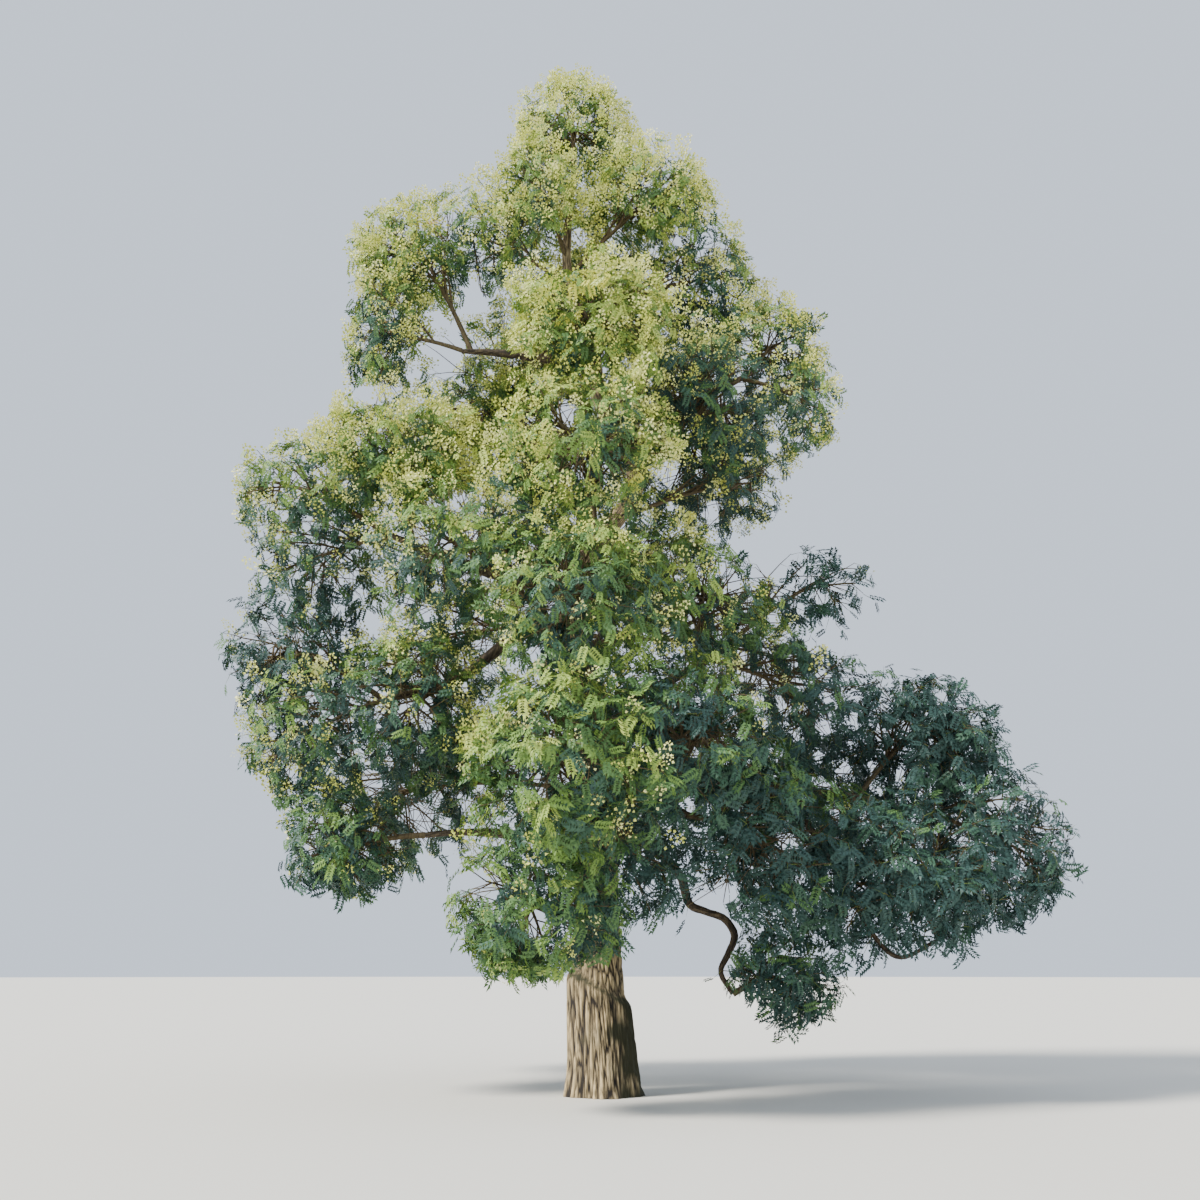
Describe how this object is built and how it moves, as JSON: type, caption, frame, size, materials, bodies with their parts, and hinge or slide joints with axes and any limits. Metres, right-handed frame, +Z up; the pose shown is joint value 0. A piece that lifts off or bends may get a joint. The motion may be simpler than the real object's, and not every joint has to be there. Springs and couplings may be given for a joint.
{
  "type": "japanese pagoda tree",
  "caption": "Mature japanese pagoda tree in summer bloom, with a stout grafted trunk, crooked leader, drooping boughs and masses of feathered leaves and cream blossom.",
  "frame": {"origin": "middle of the flat cut under the trunk at ground level", "axes": "+Z up along the trunk, -Y towards the side that the tree is looked at from in the picture, +X to the right seen from there"},
  "size_m": [12.4073, 9.9118, 16.5416],
  "materials": {
    "trunk_bark": "rough bark, pale grey-brown ridges and dark upright furrows",
    "bough_bark": "matt grey-brown bark, yellowish where thin branches are in the sun",
    "green_foliage": "leaves, fresh to deep green, slightly glossy",
    "blooming_foliage": "leaves and upright sprays of cream blossom"
  },
  "bodies": {
    "root": {"trunk": "trunk_bark", "bough_high_left": "bough_bark", "bough_high_right": "bough_bark", "bough_left_shoulder": "bough_bark", "bough_left_low": "bough_bark", "bough_left_bottom": "bough_bark", "bough_front_mid": "bough_bark", "bough_front_low": "bough_bark", "bough_front_bottom": "bough_bark", "bough_right_arch": "bough_bark", "bough_right_trail": "bough_bark", "bough_right_low": "bough_bark", "bough_right_front": "bough_bark", "bough_right_rise": "bough_bark", "bough_back_high": "bough_bark", "bough_back_mid": "bough_bark", "bough_back_low": "bough_bark", "crown_top": "blooming_foliage", "inner_left": "blooming_foliage", "upper_left": "blooming_foliage", "upper_right": "blooming_foliage", "right_shoulder": "blooming_foliage", "upper_front": "blooming_foliage", "mid_front": "blooming_foliage", "back_top": "blooming_foliage", "high_left": "blooming_foliage", "high_left_hang": "blooming_foliage", "right_high": "blooming_foliage", "right_tip": "blooming_foliage", "right_inner": "blooming_foliage", "right_under": "blooming_foliage", "left_tip": "blooming_foliage", "left_shoulder": "blooming_foliage", "left_low_shoulder": "blooming_foliage", "left_low_tip": "green_foliage", "left_hang": "green_foliage", "left_inner_low": "green_foliage", "left_bottom": "green_foliage", "front_mid": "green_foliage", "left_front": "blooming_foliage", "front_low": "green_foliage", "front_bottom": "green_foliage", "trunk_right": "green_foliage", "right_far_top": "green_foliage", "right_far_tip": "green_foliage", "right_far_low": "green_foliage", "right_droop": "green_foliage", "right_low_inner": "green_foliage", "right_front_low": "green_foliage", "right_mid_low": "green_foliage", "right_arm": "blooming_foliage", "right_mid": "green_foliage", "back_high_left": "blooming_foliage", "back_high_right": "blooming_foliage", "back_mid": "blooming_foliage", "back_left_mid": "blooming_foliage", "back_right_mid": "green_foliage", "back_low": "green_foliage", "back_left_low": "green_foliage", "back_right_low": "green_foliage"}
  },
  "joints": []
}
